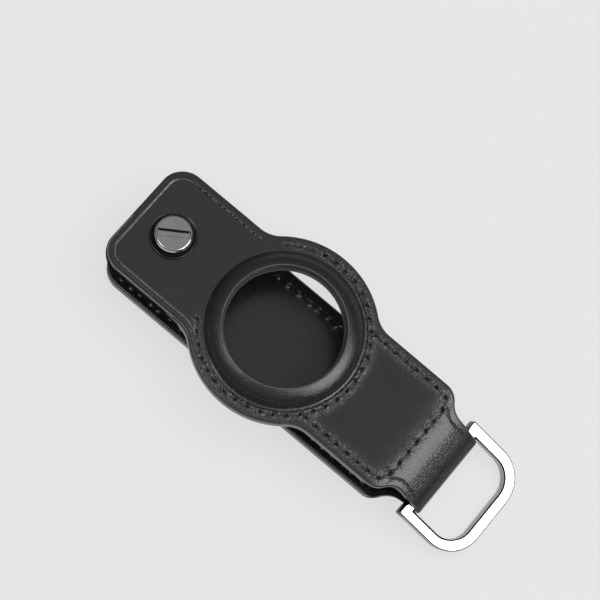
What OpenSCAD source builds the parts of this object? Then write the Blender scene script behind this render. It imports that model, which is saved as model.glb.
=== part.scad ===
// Leather holder for a coin-shaped tracker tag: one strap folded round a D-ring bar,
// a moulded ring that shows the tag's face, and a slotted screw post that closes it.
// Frame: millimetres, origin under the middle of the bounding box, +X towards the D-ring, +Z up.

/* [Strap] */
// middle of the moulded ring, along the strap
ring_x = -9.8; // [-12:0.05:0]
// free end of the front leaf, from the middle of the ring
front_end = 41.0; // [36:0.1:50]
// free end of the back leaf, from the middle of the ring
back_end = 40.5; // [36:0.1:50]
// width of the strap
strap_w = 27.8; // [20:0.1:34]
// corner radius at the free ends
end_r = 5.5; // [1:0.1:8]
// thickness of the outer leather
hide_t = 1.1; // [0.8:0.1:2]
// thickness of one leaf, outer leather and lining together
leaf_t = 3.0; // [2:0.1:4]
// height of the front leaf's upper face
front_z = 14.2; // [12:0.1:18]
// where the leaves begin to narrow to the neck, from the middle of the ring
neck_from = 34.5; // [30:0.1:40]
// width of the neck
neck_w = 20.4; // [14:0.1:24]
// radius of the two curves of the neck
neck_r = 4.4; // [2:0.1:6]

/* [Lobe and ring] */
// diameter of the round lobe
lobe_d = 41.4; // [36:0.1:46]
// radius of the hollow curves between lobe and strap
lobe_fillet = 7.0; // [2:0.1:8]
// diameter of the window in the ring
window_d = 26.5; // [20:0.1:30]
// diameter of the tag seat under the ring
seat_d = 32.3; // [32:0.1:33]
// diameter of the ring at its foot
foot_d = 36.4; // [34:0.1:38]
// height of the ring above the leaf
ring_h = 2.4; // [1.5:0.1:3.5]
// thickness of the leather lip round the window
lip_t = 1.2; // [0.8:0.1:2]

/* [Seams] */
// distance of the stitches from the edge
stitch_in = 2.0; // [1:0.1:3]
// distance from one stitch to the next
stitch_pitch = 2.9; // [2:0.1:4]
// width of the thread
thread_w = 0.5; // [0.3:0.05:0.8]

/* [D-ring] */
// middle of the bar, from the middle of the ring
bar_x = 44.8; // [42:0.1:47]
// height of the middle of the bar
bar_z = 6.3; // [4:0.05:7]
// outer width of the D-ring
dring_w = 26.4; // [24:0.1:30]
// from the middle of the bar to the far face
dring_l = 16.5; // [12:0.05:20]
// width of the wire
wire_w = 2.6; // [2:0.1:3]
// thickness of the wire
wire_t = 2.4; // [1.5:0.1:3]
// bevel of the wire
wire_b = 0.55; // [0.2:0.05:0.8]
// outer radius of the far corners
dring_r = 8.0; // [4:0.1:10]
// how far the D-ring hangs down from level, degrees
dring_pitch = 18.8; // [0:0.1:30]

/* [Screw post] */
// middle of the screw, from the middle of the ring
screw_x = 31.1; // [28:0.1:36]
// diameter of the screw head
head_d = 8.5; // [7:0.1:10]
// height of the screw head
head_h = 1.9; // [1.2:0.1:3]
// width of the slot
slot_w = 1.4; // [0.6:0.1:1.6]
// length of the slot, which is closed at both ends
slot_l = 7.4; // [5:0.1:7.8]
// depth of the slot
slot_d = 0.9; // [0.4:0.1:1.4]
// direction of the slot, degrees from the strap's axis
slot_angle = 34.5; // [-90:0.5:90]
// diameter of the washer under the head
washer_d = 9.8; // [9:0.1:12]
// thickness of the washer
washer_t = 0.4; // [0.3:0.1:1]
// diameter of the screw's shank
shank_d = 3.5; // [3:0.1:4]
// diameter of the bore in the post
bore_d = 4.1; // [3.6:0.1:5]
// diameter of the post
post_d = 6.0; // [5:0.1:7]
// diameter of the post's flange
flange_d = 10.0; // [8:0.1:12]
// thickness of the post's flange
flange_t = 0.9; // [0.6:0.1:1.1]

/* [Hidden] */
$fn = 96;
half = strap_w / 2;
neck = neck_w / 2;
wrap_r = 2.6;              // outer radius of the leather round the bar
wrap_top = 57.2;           // where the front leather meets the wrap, degrees above +X
wrap_low = -124;           // where the back leather meets the wrap
neck_step = sqrt(pow(2 * neck_r, 2) - pow(2 * neck_r - (half - neck), 2));
neck_to = neck_from + neck_step;
lf_x = sqrt(pow(lobe_d / 2 + lobe_fillet, 2) - pow(half + lobe_fillet, 2));
seat_top = front_z - leaf_t + 2.5;
black = [0.13, 0.13, 0.14];
inner = [0.10, 0.10, 0.10];
thread = [0.05, 0.05, 0.05];
steel = [0.78, 0.78, 0.80];
dark = [0.45, 0.45, 0.46];

// half of the end that narrows to the neck, on the +Y side
module neck_half() {
    square([neck_from, half]);
    difference() {
        union() {
            polygon([[neck_from, 0], [neck_to, 0], [neck_to, neck + neck_r], [neck_from, half - neck_r]]);
            translate([neck_from, half - neck_r]) circle(r = neck_r);
        }
        translate([neck_to, neck + neck_r]) circle(r = neck_r);
        translate([neck_from - 20, -20]) square([60, 20]);
    }
    translate([neck_to, 0]) square([bar_x - neck_to + 3, neck]);
}

// outline of a straight leaf, seen from above
module strap_plan(end) {
    difference() {
        translate([-end, -half]) square([end + 1, 2 * half]);
        for (s = [-1, 1]) scale([1, s]) difference() {
            translate([-end - 1, half - end_r]) square([1 + end_r, end_r + 1]);
            translate([-end + end_r, half - end_r]) circle(r = end_r);
        }
    }
    neck_half();
    mirror([0, 1]) neck_half();
}

// outline of the leaf with the round lobe
module lobe_plan(end) {
    strap_plan(end);
    circle(d = lobe_d);
    k = (lobe_d / 2) / (lobe_d / 2 + lobe_fillet);
    for (a = [-1, 1]) for (b = [-1, 1]) scale([a, b]) difference() {
        polygon([[0, 0], [lf_x, 0], [lf_x, half + lobe_fillet], [lf_x * k, (half + lobe_fillet) * k]]);
        translate([lf_x, half + lobe_fillet]) circle(r = lobe_fillet);
    }
}

// a slab with the side view of the 2-D child, x along the strap and y up
module side(w = 60) {
    translate([0, w / 2, 0]) rotate([90, 0, 0]) linear_extrude(height = w) children();
}

// side view of the front leaf: d = 0 upper face of the leather, 1 its lower face, 2 lower face of the lining
module front_outer_side() {
    polygon([[-50, front_z], [14, front_z], [37.2, front_z - 0.6], [38.4, front_z - 1.05], [39.8, front_z - 1.8],
             [42.0, front_z - 3.0], [bar_x + wrap_r * cos(wrap_top), bar_z + wrap_r * sin(wrap_top)],
             [bar_x + (wrap_r - hide_t) * cos(wrap_top), bar_z + (wrap_r - hide_t) * sin(wrap_top)],
             [41.44, front_z - 3.95], [39.28, front_z - 2.77], [37.95, front_z - 2.05], [36.99, front_z - 1.7],
             [14, front_z - hide_t], [-50, front_z - hide_t]]);
}

module front_lining_side() {
    polygon([[-50, front_z - hide_t], [14, front_z - hide_t], [36.99, front_z - 1.7], [37.95, front_z - 2.05],
             [39.28, front_z - 2.77], [41.44, front_z - 3.95], [43.0, front_z - 4.96], [43.0, 6.81],
             [42.7, 6.81], [40.2, 8.52], [38.1, 9.78], [36.3, front_z - leaf_t - 0.6],
             [14, front_z - leaf_t], [-50, front_z - leaf_t]]);
}

module back_outer_side() {
    polygon([[-50, 0], [36.0, 0], [37.4, 0.28], [38.6, 0.95],
             [bar_x + wrap_r * cos(wrap_low), bar_z + wrap_r * sin(wrap_low)],
             [bar_x + (wrap_r - hide_t) * cos(wrap_low), bar_z + (wrap_r - hide_t) * sin(wrap_low)],
             [38.02, 1.89], [37.02, 1.33], [35.89, hide_t], [-50, hide_t]]);
}

module back_lining_side() {
    polygon([[-50, hide_t], [35.89, hide_t], [37.02, 1.33], [38.02, 1.89], [42.73, 5.05], [43.0, 5.24], [43.0, 6.75],
             [42.7, 6.75], [40.2, 5.2], [38.2, 3.98], [37.0, 3.3], [35.6, leaf_t], [-50, leaf_t]]);
}

// one stitch lying on a face, its middle at the origin
module stitch() {
    translate([-stitch_pitch * 0.38, -thread_w / 2, 0]) cube([stitch_pitch * 0.76, thread_w, 0.3]);
}

// stitches along a line from one point to another at height z
module seam(x0, y0, x1, y1, z) {
    l = norm([x1 - x0, y1 - y0]);
    n = max(1, round(l / stitch_pitch));
    a = atan2(y1 - y0, x1 - x0);
    for (i = [0 : n - 1]) translate([x0 + (x1 - x0) * (i + 0.5) / n, y0 + (y1 - y0) * (i + 0.5) / n, z])
        rotate([0, 0, a]) stitch();
}

// stitches along an arc about the origin, from angle a0 to a1
module seam_arc(r, a0, a1, z) {
    n = round(r * (a1 - a0) * PI / 180 / stitch_pitch);
    for (i = [0 : n - 1]) rotate([0, 0, a0 + (a1 - a0) * (i + 0.5) / n]) translate([r, 0, z])
        rotate([0, 0, 90]) stitch();
}

module back_leather() color(black) translate([ring_x, 0, 0]) difference() {
    intersection() {
        translate([0, 0, -1]) linear_extrude(height = 9) strap_plan(back_end);
        side() back_outer_side();
    }
    translate([-screw_x, 0, -1]) cylinder(d = flange_d + 0.1, h = flange_t + 1);
    translate([-screw_x, 0, -1]) cylinder(d = post_d - 0.3, h = 6);
}

module back_lining() color(inner) translate([ring_x, 0, 0]) difference() {
    intersection() {
        translate([0, 0, -1]) linear_extrude(height = 9) strap_plan(back_end);
        side() back_lining_side();
    }
    translate([-screw_x, 0, -1]) cylinder(d = post_d - 0.3, h = 6);
}

module back_stitching() color(thread) translate([ring_x, 0, 0]) {
    y = half - stitch_in;
    for (s = [-1, 1]) {
        seam(-back_end + end_r, s * y, neck_from - 1, s * y, leaf_t);
        seam(-back_end + stitch_in + 0.5, s * (y - 3.5), -back_end + end_r - 0.4, s * (y - 0.4), leaf_t);
    }
    seam(-back_end + stitch_in, -y + 4.2, -back_end + stitch_in, y - 4.2, leaf_t);
}

// the part of the leather that goes round the bar
module loop_leather() color(black) translate([ring_x + bar_x, 0, bar_z]) difference() {
    rotate([90, 0, 0]) cylinder(r = wrap_r, h = neck_w, center = true);
    rotate([90, 0, 0]) cylinder(r = wrap_r - hide_t, h = neck_w + 1, center = true);
    side(40) polygon([[0, 0], [8 * cos(wrap_top), 8 * sin(wrap_top)], [-8, 8], [-8, -8], [8 * cos(wrap_low), 8 * sin(wrap_low)]]);
}

// upper half of the moulded ring in section: a rounded leather shell round the window
module ring_section() {
    a = window_d / 2;
    b = foot_d / 2;
    polygon([[a, seat_top], [a, front_z + 0.4], [a + 0.25, front_z + ring_h - 0.5], [a + 0.45, front_z + ring_h - 0.15],
             [a + 0.9, front_z + ring_h], [a + 2.0, front_z + ring_h - 0.1], [a + 3.0, front_z + ring_h - 0.55],
             [a + 3.9, front_z + ring_h - 1.3],
             [b - 0.5, front_z + 0.45], [b, front_z], [b, front_z - hide_t], [seat_d / 2 - 0.9, front_z - hide_t],
             [seat_d / 2 - 0.9, seat_top]]);
}

module front_leather() color(black) translate([ring_x, 0, 0]) difference() {
    union() {
        intersection() {
            translate([0, 0, 2]) linear_extrude(height = 14) lobe_plan(front_end);
            side() front_outer_side();
        }
        rotate_extrude() ring_section();
    }
    cylinder(d = window_d, h = 30);
    cylinder(d = seat_d, h = seat_top);
    // room for the core of the ring
    rotate_extrude() core_section(0.0);
    translate([-screw_x, 0, 5]) cylinder(d = shank_d + 0.8, h = 20);
}

// the padding inside the moulded ring
module core_section(g) {
    a = window_d / 2 + lip_t + 0.4;
    polygon([[a, seat_top], [a, front_z + ring_h - 1.1], [a + 1.0, front_z + ring_h - 1.25], [a + 2.0, front_z - 0.4 + 0.3],
             [a + 2.3, seat_top]]);
}

module ring_core() color(inner) translate([ring_x, 0, 0]) rotate_extrude() core_section(0.0);

module front_lining() color(inner) translate([ring_x, 0, 0]) difference() {
    intersection() {
        translate([0, 0, 2]) linear_extrude(height = 14) lobe_plan(front_end);
        side() front_lining_side();
    }
    cylinder(d = seat_d, h = 30);
    translate([-screw_x, 0, 5]) cylinder(d = shank_d + 0.8, h = 20);
}

module front_stitching() color(thread) translate([ring_x, 0, 0]) {
    y = half - stitch_in;
    r = lobe_d / 2 - stitch_in;
    seam_arc(r, -146, 146, front_z);
    // the seam of the tab follows its slight fall
    translate([14, 0, front_z]) rotate([0, atan(0.6 / 23.2), 0]) for (s = [-1, 1]) {
        seam(1.6, s * y, 20.9, s * y, 0);
        seam(21.1, s * (y - 0.3), 22.8, s * (y - 2.4), 0);
        if (s > 0) seam(23.1, -y + 2.6, 23.1, y - 2.6, 0);
    }
}

// section of the D-ring's wire, its middle at the origin
module wire() {
    w = wire_w / 2;
    t = wire_t / 2;
    polygon([[-w, -t + wire_b], [-w + wire_b, -t], [w - wire_b, -t], [w, -t + wire_b],
             [w, t - wire_b], [w - wire_b, t], [-w + wire_b, t], [-w, t - wire_b]]);
}

module d_ring() color(steel) translate([ring_x + bar_x, 0, bar_z]) rotate([0, dring_pitch, 0]) {
    r = dring_r - wire_w / 2;
    y = dring_w / 2 - wire_w / 2;
    x = dring_l - wire_w / 2;
    union() {
        translate([0, dring_w / 2, 0]) rotate([90, 0, 0]) linear_extrude(height = dring_w) wire();
        for (s = [-1, 1]) {
            translate([0, s * y, 0]) rotate([90, 0, 90]) linear_extrude(height = x - r) wire();
            translate([x - r, s * (y - r), 0]) rotate([0, 0, s > 0 ? 0 : -90])
                rotate_extrude(angle = 90) translate([r, 0]) wire();
        }
        translate([x, y - r, 0]) rotate([90, 0, 0]) linear_extrude(height = 2 * (y - r)) wire();
    }
}

// the post: a flange let into the back leather, a stem through it and a bored barrel on its shoulder
module post() color(dark) translate([ring_x - screw_x, 0, 0]) difference() {
    union() {
        cylinder(d = flange_d, h = flange_t);
        cylinder(d = post_d - 0.4, h = leaf_t + 0.5);
        translate([0, 0, leaf_t]) cylinder(d = post_d, h = front_z - 2 * leaf_t - 0.2);
    }
    translate([0, 0, 4.5]) cylinder(d = bore_d, h = 20);
}

module screw_washer() color(thread) translate([ring_x - screw_x, 0, front_z]) difference() {
    cylinder(d = washer_d, h = washer_t);
    translate([0, 0, -1]) cylinder(d = shank_d + 0.6, h = 3);
}

module screw() color(dark) translate([ring_x - screw_x, 0, front_z + washer_t]) difference() {
    union() {
        cylinder(d = head_d, h = head_h - 0.3);
        translate([0, 0, head_h - 0.3]) cylinder(d1 = head_d, d2 = head_d - 0.6, h = 0.3);
        translate([0, 0, -7.2]) cylinder(d = shank_d, h = 7.3);
    }
    rotate([0, 0, slot_angle]) translate([-slot_l / 2, -slot_w / 2, head_h - slot_d]) cube([slot_l, slot_w, slot_d + 1]);
}

back_leather();
back_lining();
back_stitching();
loop_leather();
front_leather();
ring_core();
front_lining();
front_stitching();
d_ring();
post();
screw_washer();
screw();
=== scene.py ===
import math
import bpy
import numpy as np
from mathutils import Matrix, Vector, geometry


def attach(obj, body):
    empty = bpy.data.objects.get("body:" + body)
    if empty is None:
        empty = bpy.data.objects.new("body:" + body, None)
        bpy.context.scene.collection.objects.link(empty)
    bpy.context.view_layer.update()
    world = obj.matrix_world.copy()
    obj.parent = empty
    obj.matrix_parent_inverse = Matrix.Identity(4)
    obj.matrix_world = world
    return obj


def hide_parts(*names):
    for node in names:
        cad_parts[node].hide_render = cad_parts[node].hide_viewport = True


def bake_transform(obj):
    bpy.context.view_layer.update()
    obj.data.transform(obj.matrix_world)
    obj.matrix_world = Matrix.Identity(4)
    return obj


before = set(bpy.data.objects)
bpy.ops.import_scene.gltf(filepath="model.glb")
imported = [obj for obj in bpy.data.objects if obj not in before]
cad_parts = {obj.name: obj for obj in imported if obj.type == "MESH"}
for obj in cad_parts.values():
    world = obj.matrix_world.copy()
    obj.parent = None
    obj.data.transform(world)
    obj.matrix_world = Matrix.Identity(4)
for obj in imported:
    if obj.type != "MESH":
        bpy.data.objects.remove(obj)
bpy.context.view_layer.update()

MM = 0.001
RX = -9.8           # middle of the moulded ring in the row frame, mm

# ---------------------------------------------------------------- sizes, mm
HALF = 13.9         # half width of the strap
NECK = 10.2         # half width of the neck
HIDE = 1.1          # outer leather
LEAF = 3.0          # outer leather and lining
FRONT_Z = 14.2
FRONT_END = 41.0
BACK_END = 40.5
END_R = 5.5
NECK_R = 4.4
NECK_FROM = 34.5
NECK_TO = NECK_FROM + math.sqrt((2 * NECK_R) ** 2 - (2 * NECK_R - (HALF - NECK)) ** 2)
LOBE = 20.7
FIL = 7.0
LFX = math.sqrt((LOBE + FIL) ** 2 - (HALF + FIL) ** 2)
BAR = (44.8, 6.3)
WRAP = 2.6
SCREW_X = -31.1
SEAM = 2.0          # stitches from the edge
PITCH = 2.9


def smooth(a, b, x):
    t = np.clip((np.asarray(x, float) - a) / (b - a), 0, 1)
    return t * t * (3 - 2 * t)


# ---------------------------------------------------------------- side view of the outer face, from free end to free end
def soften(p, n=4):
    p = np.array(p, float)
    for _ in range(n):
        a, b = p[:-1], p[1:]
        q = np.empty((2 * len(a), 2))
        q[0::2] = a * 0.75 + b * 0.25
        q[1::2] = a * 0.25 + b * 0.75
        p = np.vstack([p[:1], q, p[-1:]])
    return p


side = [(-41.0, 14.2), (6, 14.2), (11, 14.2), (15, 14.17), (20, 14.08), (27, 13.92), (33.0, 13.76), (35.0, 13.62), (36.4, 13.44),
        (37.3, 13.30), (38.5, 13.06), (39.5, 12.76), (40.5, 12.32), (41.5, 11.80), (42.5, 11.18), (43.4, 10.53), (44.3, 9.82),
        (45.2, 9.09), (46.0, 8.40), (46.7, 7.66), (47.2, 6.86), (47.43, 6.1), (47.45, 5.4), (47.25, 4.75), (46.8, 4.25),
        (46.1, 3.90), (45.2, 3.73), (44.3, 3.78), (43.35, 4.08), (42.0, 3.24), (40.6, 2.30), (39.4, 1.50), (38.5, 0.92), (37.5, 0.33),
        (36.6, 0.05), (35.6, 0.0), (34.0, 0.0), (-40.5, 0.0)]
PATH = soften(side)
seg = np.hypot(*np.diff(PATH, axis=0).T)
S_AT = np.concatenate([[0], np.cumsum(seg)])
keep = np.concatenate([[True], seg > 1e-6])
PATH, S_AT = PATH[keep], S_AT[keep]
S_ALL = S_AT[-1]
DENSE = np.linspace(0, S_ALL, 6001)
PX = np.interp(DENSE, S_AT, PATH[:, 0])
PZ = np.interp(DENSE, S_AT, PATH[:, 1])


def blur(v, n):
    k = np.ones(2 * n + 1) / (2 * n + 1)
    return np.convolve(np.pad(v, n, mode="edge"), k, "valid")


TX, TZ = blur(np.gradient(PX), 6), blur(np.gradient(PZ), 6)
tl = np.hypot(TX, TZ)
NX, NZ = -TZ / tl, TX / tl
TURN = int(np.argmax(PX))
S_TURN = DENSE[TURN]


def s_front(x):
    return np.interp(x, PX[:TURN + 1], DENSE[:TURN + 1])


def s_back(x):
    return np.interp(-np.asarray(x, float), -PX[TURN:], DENSE[TURN:])


def place(s, y, h):
    """A point of the strap: s along the outer face, y across, h out of the face."""
    s, y, h = np.broadcast_arrays(np.asarray(s, float), y, h)
    return np.stack([np.interp(s, DENSE, PX) + np.interp(s, DENSE, NX) * h, y,
                     np.interp(s, DENSE, PZ) + np.interp(s, DENSE, NZ) * h], -1)


# ---------------------------------------------------------------- outline of the strap laid flat
def arc(cx, cy, r, a0, a1, n=60):
    a = np.radians(np.linspace(a0, a1, n))
    return np.stack([cx + r * np.cos(a), cy + r * np.sin(a)], -1)


ka = math.degrees(math.atan2(HALF + FIL, LFX))
na = math.degrees(math.atan2((NECK + NECK_R - (HALF - NECK_R)) / 2, (NECK_TO - NECK_FROM) / 2))


def neck_curve():
    return np.vstack([arc(NECK_FROM, HALF - NECK_R, NECK_R, 90, na), arc(NECK_TO, NECK + NECK_R, NECK_R, 180 + na, 270)[1:]])


def front_half(lobe=True):
    p = [np.array([[-FRONT_END, 0.0], [-FRONT_END, HALF - END_R]]), arc(-FRONT_END + END_R, HALF - END_R, END_R, 180, 90)[1:]]
    if lobe:
        p += [arc(-LFX, HALF + FIL, FIL, -90, -ka), arc(0, 0, LOBE, 180 - ka, ka, 160)[1:], arc(LFX, HALF + FIL, FIL, -180 + ka, -90)[1:]]
    p += [neck_curve()]
    return np.vstack(p)


def back_half():
    p = [neck_curve()[::-1] + [0.8, 0.0], arc(-BACK_END + END_R, HALF - END_R, END_R, 90, 180), np.array([[-BACK_END, 0.0]])]
    return np.vstack(p)


def laid(front_end=None, back_end=None):
    """Half outline in (s, y). front_end: only the front leaf, up to that s; back_end: only the back leaf, from that s."""
    f, b = front_half(), back_half()
    fs = np.stack([s_front(f[:, 0]), f[:, 1]], -1)
    bs = np.stack([s_back(b[:, 0]), b[:, 1]], -1)
    if front_end is not None:
        fs = fs[fs[:, 0] < front_end - 0.05]
        return np.vstack([fs, [[front_end, NECK]]])
    if back_end is not None:
        bs = bs[bs[:, 0] > back_end + 0.05]
        return np.vstack([[[back_end, NECK]], bs])
    return np.vstack([fs, bs])


def resample(p, step):
    d = np.hypot(*np.diff(p, axis=0).T)
    t = np.concatenate([[0], np.cumsum(d)])
    ok = np.concatenate([[True], d > 1e-7])
    p, t = p[ok], t[ok]
    n = max(2, int(round(t[-1] / step)) + 1)
    u = np.linspace(0, t[-1], n)
    return np.stack([np.interp(u, t, p[:, 0]), np.interp(u, t, p[:, 1])], -1)


def closed(half):
    """Mirrors a half outline that starts and ends on y = 0 into a closed loop."""
    return np.vstack([half, (half * [1, -1])[-2:0:-1]])


def inward(loop, n=1):
    t = np.roll(loop, -n, 0) - np.roll(loop, n, 0)
    t /= np.hypot(t[:, 0], t[:, 1])[:, None]
    return np.stack([t[:, 1], -t[:, 0]], -1)


# ---------------------------------------------------------------- where the stitches are, in (s, y)
def row_of(points, closed_row=False):
    """Needle holes at an even pitch along a line of points."""
    p = resample(np.array(points, float), 0.02)
    d = np.concatenate([[0], np.cumsum(np.hypot(*np.diff(p, axis=0).T))])
    n = max(1, int(round(d[-1] / PITCH)))
    u = np.linspace(0, d[-1], n + 1)
    return np.stack([np.interp(u, d, p[:, 0]), np.interp(u, d, p[:, 1])], -1)


R_SEAM = LOBE - SEAM
join = math.degrees(math.acos(1 - 0))  # 0
y_seam = HALF - SEAM
ang_seam = math.degrees(math.asin(y_seam / R_SEAM))


def xy_to_s(points):
    p = np.array(points, float)
    return np.stack([s_front(p[:, 0]), p[:, 1]], -1)


ROWS_FRONT = [row_of(xy_to_s(arc(0, 0, R_SEAM + 0.1, -146, 128, 600)))]
for sg in (1, -1):
    line = np.vstack([[[R_SEAM * math.cos(math.radians(ang_seam)) + 1.3, sg * y_seam]],
                      [[34.2, sg * y_seam]], arc(34.4, sg * (y_seam - 2.6), 2.6, sg * 80, sg * 22, 12), [[37.1, sg * 9.0]]])
    ROWS_FRONT.append(row_of(xy_to_s(line)))
ROWS_FRONT.append(row_of(xy_to_s([[37.1, -9.0], [37.1, 9.0]])))

yb = HALF - 2.45
line = np.vstack([[[34.0, yb]], arc(-BACK_END + END_R, HALF - END_R, END_R - 2.45, 90, 180, 30),
                  arc(-BACK_END + END_R, -(HALF - END_R), END_R - 2.45, 180, 270, 30), [[34.0, -yb]]])
ROW_BACK_XY = np.array(line)
ROWS_BACK = [row_of(np.stack([s_back(ROW_BACK_XY[:, 0]), ROW_BACK_XY[:, 1]], -1))]
holes_xy, holes_dir = [], []
for row in ROWS_FRONT + ROWS_BACK:
    t = np.gradient(row, axis=0)
    t /= np.hypot(t[:, 0], t[:, 1])[:, None]
    holes_xy.append(row)
    holes_dir.append(t)
HOLES = np.vstack(holes_xy)
HOLE_T = np.vstack(holes_dir)

rng = np.random.default_rng(7)
HOLE_D = 0.50 + 0.24 * rng.random(len(HOLES))
HOLE_A = np.radians(8 + 26 * rng.random(len(HOLES)))
HOLE_W = 0.19 + 0.08 * rng.random(len(HOLES))
HOLE_U = 0.36 + 0.12 * rng.random(len(HOLES))
HOLE_P = 0.04 + 0.09 * rng.random(len(HOLES))       # leather pushed up beside the hole
HOLES = HOLES + rng.normal(0, 0.07, HOLES.shape)
# the sewing sinks in less at the top of the lobe and towards the far left
for i, (hs, hy) in enumerate(HOLES):
    if hs < s_front(19.0) and i < len(holes_xy[0]):
        hx = float(np.interp(hs, DENSE, PX))
        ang = math.degrees(math.atan2(hy, hx))
        calm = float(smooth(96, 112, ang)) if ang > 0 else 0.6 * float(smooth(-112, -135, ang))
        HOLE_D[i] *= 1 - 0.72 * calm
        HOLE_P[i] *= 1 - 0.5 * calm


def near_rows(p, rows, reach=1.4):
    """Distance to the nearest stitch line."""
    best = np.full(len(p), 9.0)
    for row in rows:
        for a, b in zip(row[:-1], row[1:]):
            ok = np.abs(p[:, 0] - (a[0] + b[0]) / 2) < 3.2
            if not ok.any():
                continue
            q = p[ok]
            ab = b - a
            t = np.clip(((q - a) @ ab) / (ab @ ab), 0, 1)
            d = np.hypot(*(q - a - t[:, None] * ab).T)
            best[ok] = np.minimum(best[ok], d)
    return best


def wave(p, scale, seed):
    """A gentle, smooth unevenness, about -1 to 1."""
    r = np.random.default_rng(seed)
    out = np.zeros(len(p))
    for _ in range(6):
        a = r.uniform(0, 2 * math.pi)
        f = r.uniform(0.6, 1.6) * 2 * math.pi / scale
        out += np.sin((p[:, 0] * math.cos(a) + p[:, 1] * math.sin(a)) * f + r.uniform(0, 6.28))
    return out / 3.2


NECK_LINE = [np.array([[s_front(x), sg * y] for x, y in
                       ((37.5, 9.9), (38.6, 9.0), (40.0, 8.42), (41.6, 8.36), (43.2, 8.5), (45.0, 8.85), (46.9, 9.2))]) for sg in (1, -1)]


def line_dist(p, line):
    best = np.full(len(p), 9.0)
    at = np.zeros(len(p))
    n = len(line) - 1
    for i in range(n):
        a, ab = line[i], line[i + 1] - line[i]
        t = np.clip(((p - a) @ ab) / (ab @ ab), 0, 1)
        d = np.hypot(*(p - a - t[:, None] * ab).T)
        m = d < best
        best[m] = d[m]
        at[m] = (i + t[m]) / n
    return best, at


def relief(p, rows=True):
    """Height of the outer face above its plain surface, mm."""
    p = np.asarray(p, float)
    h = 0.018 * wave(p, 16, 3) + 0.006 * wave(p, 4.5, 4)
    # the neck's creases beside its edges
    for line in NECK_LINE:
        ok = (p[:, 0] > line[0, 0] - 1) & (p[:, 0] < line[-1, 0] + 1)
        d, at = line_dist(p[ok], line)
        fade = 1 - smooth(0.72, 1.0, at)
        h[ok] += fade * (-0.15 * np.exp(-(d / 0.17) ** 2) - 0.07 * np.exp(-(d / 0.5) ** 2))
    # across the neck, fine folds where the leather turns
    turn = smooth(s_front(38.0), s_front(43.5), p[:, 0]) * (1 - smooth(s_front(46.0), s_front(47.2), p[:, 0]))
    h += turn * (0.012 * wave(p, 2.6, 9) + 0.007 * wave(p, 1.25, 12))
    if rows:
        d = near_rows(p, ROWS_FRONT + ROWS_BACK)
        sewn = np.exp(-(d / 0.85) ** 2)
        h += -0.13 * np.exp(-(d / 0.32) ** 2) - 0.05 * np.exp(-(d / 0.9) ** 2) + sewn * (0.060 * wave(p, 1.7, 31) + 0.042 * wave(p, 0.85, 32))
        close = np.where(d < 1.3)[0]
        q = p[close]
        add = np.zeros(len(q))
        for c, t, dep, an, hw_, hu_, pk in zip(HOLES, HOLE_T, HOLE_D, HOLE_A, HOLE_W, HOLE_U, HOLE_P):
            ok = np.where(np.abs(q[:, 0] - c[0]) < 1.6)[0]
            if not len(ok):
                continue
            v = q[ok] - c
            a = v @ t
            b = v @ np.array([-t[1], t[0]])
            ca, sa = math.cos(an), math.sin(an)
            u, w = a * ca + b * sa, -a * sa + b * ca
            add[ok] -= dep * np.exp(-((u / hu_) ** 2 + (w / hw_) ** 2))
            # leather pushed up beside the hole
            add[ok] += pk * np.exp(-(((u) / 0.5) ** 2 + ((np.abs(w) - 0.46) / 0.2) ** 2))
        h[close] += add
    # pressed down round the screw
    r = np.hypot(p[:, 0] - s_front(SCREW_X), p[:, 1])
    h += -0.10 * np.exp(-np.maximum(r - 4.6, 0) ** 2 / 0.9) * (r < 9) - 0.12 * np.exp(-((r - 4.98) / 0.18) ** 2)
    # nothing stands out of the flat back
    return np.where(p[:, 0] > S_TURN + 4, np.minimum(h, 0.0), h)


# ---------------------------------------------------------------- mesh helpers
class Mesh:
    def __init__(self):
        self.v, self.f, self.m, self.n = [], [], [], 0

    def add(self, v):
        v = np.asarray(v, float).reshape(-1, 3)
        self.v.append(v)
        self.n += len(v)
        return np.arange(self.n - len(v), self.n)

    def strip(self, a, b, mat=0, close=True, flip=False):
        """Quads between two rows of vertices."""
        a, b = np.asarray(a), np.asarray(b)
        if close:
            a2, b2 = np.roll(a, -1), np.roll(b, -1)
        else:
            a, a2, b, b2 = a[:-1], a[1:], b[:-1], b[1:]
        q = np.stack([a, a2, b2, b], -1)
        if flip:
            q = q[:, ::-1]
        self.f += [tuple(map(int, x)) for x in q]
        self.m += [mat] * len(q) if np.isscalar(mat) else list(mat)

    def tris(self, t, mat=0, flip=False):
        t = np.asarray(t)
        if flip:
            t = t[:, ::-1]
        self.f += [tuple(map(int, x)) for x in t]
        self.m += [mat] * len(t)

    def fan(self, ring, mat=0, flip=False):
        ring = [int(i) for i in ring]
        self.f.append(tuple(ring[::-1] if flip else ring))
        self.m.append(mat)

    def build(self, name, mats, sharp=42, x0=RX, attrs=None):
        v = (np.vstack(self.v) + [x0, 0, 0]) * MM
        me = bpy.data.meshes.new(name)
        me.from_pydata(v.tolist(), [], self.f)
        me.update()
        for m in mats:
            me.materials.append(m)
        me.polygons.foreach_set("material_index", np.array(self.m, np.int32))
        me.polygons.foreach_set("use_smooth", np.ones(len(me.polygons), bool))
        if sharp:
            me.set_sharp_from_angle(angle=math.radians(sharp))
        for key, val in (attrs or {}).items():
            a = me.attributes.new(key, "FLOAT", "POINT")
            a.data.foreach_set("value", np.asarray(val, np.float32))
        me.validate()
        ob = bpy.data.objects.new(name, me)
        bpy.context.scene.collection.objects.link(ob)
        return ob


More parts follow.
